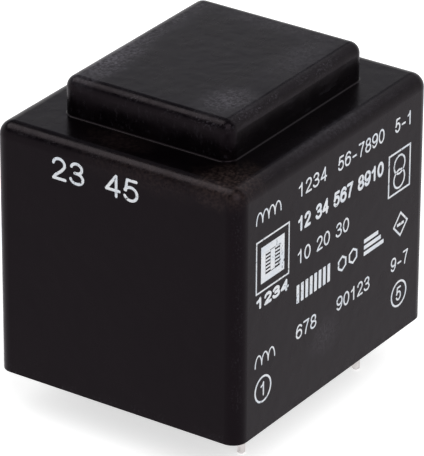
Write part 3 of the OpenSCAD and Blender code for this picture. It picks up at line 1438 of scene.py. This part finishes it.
@dataclass
class Studio:
    """The floor, the lamps, the bright surroundings and the camera. Distances are in metres."""

    floor_width: float = 6.0
    floor_colour: Colour = (0.8, 0.8, 0.8)
    floor_glow: float = 0.6
    floor_gloss: float = 1.0
    floor_tint: Colour = (1.0, 0.96, 1.0)
    surroundings: float = 0.62
    aim: float = 0.012
    wall_top: float = 0.25
    ceiling_foot: float = 0.57
    ceiling: float = 0.2
    ceiling_tint: Colour = (0.95, 0.93, 1.12)
    yaw: float = -55.928
    pitch: float = 26.783
    roll: float = 0.274
    distance: float = 0.4328
    aside: float = -0.000105
    above: float = 0.010818
    lens: float = 354.63
    lamps: tuple[SoftBox, ...] = (
        SoftBox("key_lamp", (-0.35, -0.55, 0.76), 1.1, (0.9, 0.9), 5.0),
        SoftBox("fill_lamp", (0.7, 0.1, 0.7), 1.2, (1.0, 1.0), 2.0, Role.MATT),
        SoftBox("crown_light", (-0.15, 0.5, 0.85), 0.45, (0.26, 0.3), 0.85, Role.GLOSS,
                (1.0, 1.03, 0.97)),
        SoftBox("side_light", (0.74, -0.2, 0.64), 0.5, (0.5, 0.26), 0.34, Role.GLOSS),
    )

    def build(self, foot: float) -> None:
        """Sets up the whole studio.

        Args:
            foot: the height of the lowest point of the object, in metres.
        """
        self._floor(foot)
        self._world()
        for lamp in self.lamps:
            self._lamp(lamp)
        self._camera()
        bpy.context.scene.view_settings.view_transform = "Standard"

    def _floor(self, foot: float) -> None:
        """Lays a pale floor that shows white and keeps the object's shadow.

        Args:
            foot: its height in metres.
        """
        deselect_all()
        bpy.ops.mesh.primitive_plane_add(size=self.floor_width, location=(0, 0, foot))
        floor = bpy.context.object
        floor.name = "studio_floor"
        bpy.ops.object.transform_apply(location=True)
        material = bpy.data.materials.new("pale_floor")
        material.use_nodes = True
        graph = Graph(material.node_tree)
        material.node_tree.nodes.clear()
        straight, glossy = graph.rays()
        matt = graph.shader("BsdfDiffuse", (*self.floor_colour, 1))
        glow = graph.shader("Emission", (1, 1, 1, 1), graph.times(straight, self.floor_glow))
        gloss = graph.shader("Emission", (*self.floor_tint, 1), self.floor_gloss)
        seen = graph.shader("MixShader", glossy, graph.shader("AddShader", matt, glow), gloss)
        below = graph.add("ShaderNodeNewGeometry").outputs["Backfacing"]
        sides = graph.shader("MixShader", below, seen, graph.shader("BsdfTransparent"))
        leave = graph.add("ShaderNodeOutputMaterial")
        graph.feed(leave.inputs["Surface"], sides)
        floor.data.materials.append(material)

    def _world(self) -> None:
        """Makes soft surroundings that show white."""
        world = bpy.data.worlds.new("studio_surroundings")
        bpy.context.scene.world = world
        world.use_nodes = True
        graph = Graph(world.node_tree)
        back = world.node_tree.nodes["Background"]
        straight, glossy = graph.rays()
        rise = graph.axes(graph.add("ShaderNodeTexCoord").outputs["Generated"])[2]
        wall = graph.span(rise, self.wall_top, self.ceiling_foot, 1.0, self.ceiling)
        matt = graph.times(graph.calc("SUBTRACT", 1.0, glossy), self.surroundings)
        light = graph.plus(graph.times(glossy, wall), matt)
        unseen = graph.calc("SUBTRACT", 1.0, straight)
        strength = graph.plus(straight, graph.times(unseen, light))
        graph.feed(back.inputs["Strength"], strength)
        tint = graph.times(glossy, graph.span(rise, self.wall_top, self.ceiling_foot))
        graph.feed(back.inputs["Color"], graph.blend(tint, (1.0, 1.0, 1.0), self.ceiling_tint))

    def _lamp(self, box: SoftBox) -> None:
        """Hangs one soft lamp that points at the object.

        Args:
            box: the lamp's place and size.
        """
        data: Light = bpy.data.lights.new(box.name, "AREA")
        data.shape = "RECTANGLE"
        data.size, data.size_y = box.size
        data.energy = box.power
        data.color = box.colour
        lamp = bpy.data.objects.new(box.name, data)
        bpy.context.scene.collection.objects.link(lamp)
        away = Vector(box.direction).normalized()
        lamp.location = away * box.distance + Vector((0, 0, self.aim))
        lamp.rotation_mode = "QUATERNION"
        lamp.rotation_quaternion = away.to_track_quat("Z", "Y")
        lamp.visible_camera = False
        lamp.visible_diffuse = box.role is not Role.GLOSS
        lamp.visible_glossy = box.role is not Role.MATT

    def _camera(self) -> None:
        """Places the camera from its angles, distance and offsets."""
        turn, tilt, roll = (math.radians(angle) for angle in (self.yaw, self.pitch, self.roll))
        back = Vector((math.sin(turn) * math.cos(tilt), -math.cos(turn) * math.cos(tilt),
                       math.sin(tilt)))
        level = Vector((math.cos(turn), math.sin(turn), 0))
        upright = back.cross(level)
        right = level * math.cos(roll) + upright * math.sin(roll)
        up = upright * math.cos(roll) - level * math.sin(roll)
        data = bpy.data.cameras.new("camera")
        data.sensor_width = 36.0
        data.lens = self.lens
        data.clip_start, data.clip_end = 0.01, 20.0
        camera = bpy.data.objects.new("camera", data)
        bpy.context.scene.collection.objects.link(camera)
        place = back * self.distance + right * self.aside + up * self.above
        camera.matrix_world = Matrix.Translation(place) @ Matrix(
            (right, up, back)).transposed().to_4x4()
        bpy.context.scene.camera = camera


def main() -> None:
    """Builds every sub-assembly in order and reports each piece."""
    logging.basicConfig(level=logging.INFO, format="%(name)s: %(message)s")
    finishes = Finishes(Effects())
    log.info("dressed %s", Housing().dress(finishes).name)
    for node, material in Works().dress(finishes).items():
        log.info("dressed %s with %s", node, material)
    for piece in Marking(Ink()).build(finishes):
        log.info("built %s, %d faces", piece.name, len(piece.data.polygons))
    for piece in Pins().dress(finishes):
        log.info("built %s, %d faces", piece.name, len(piece.data.polygons))
    Studio().build(CAD_BOX[0][2])
    log.info("sizes written")


if __name__ == "__main__":
    main()
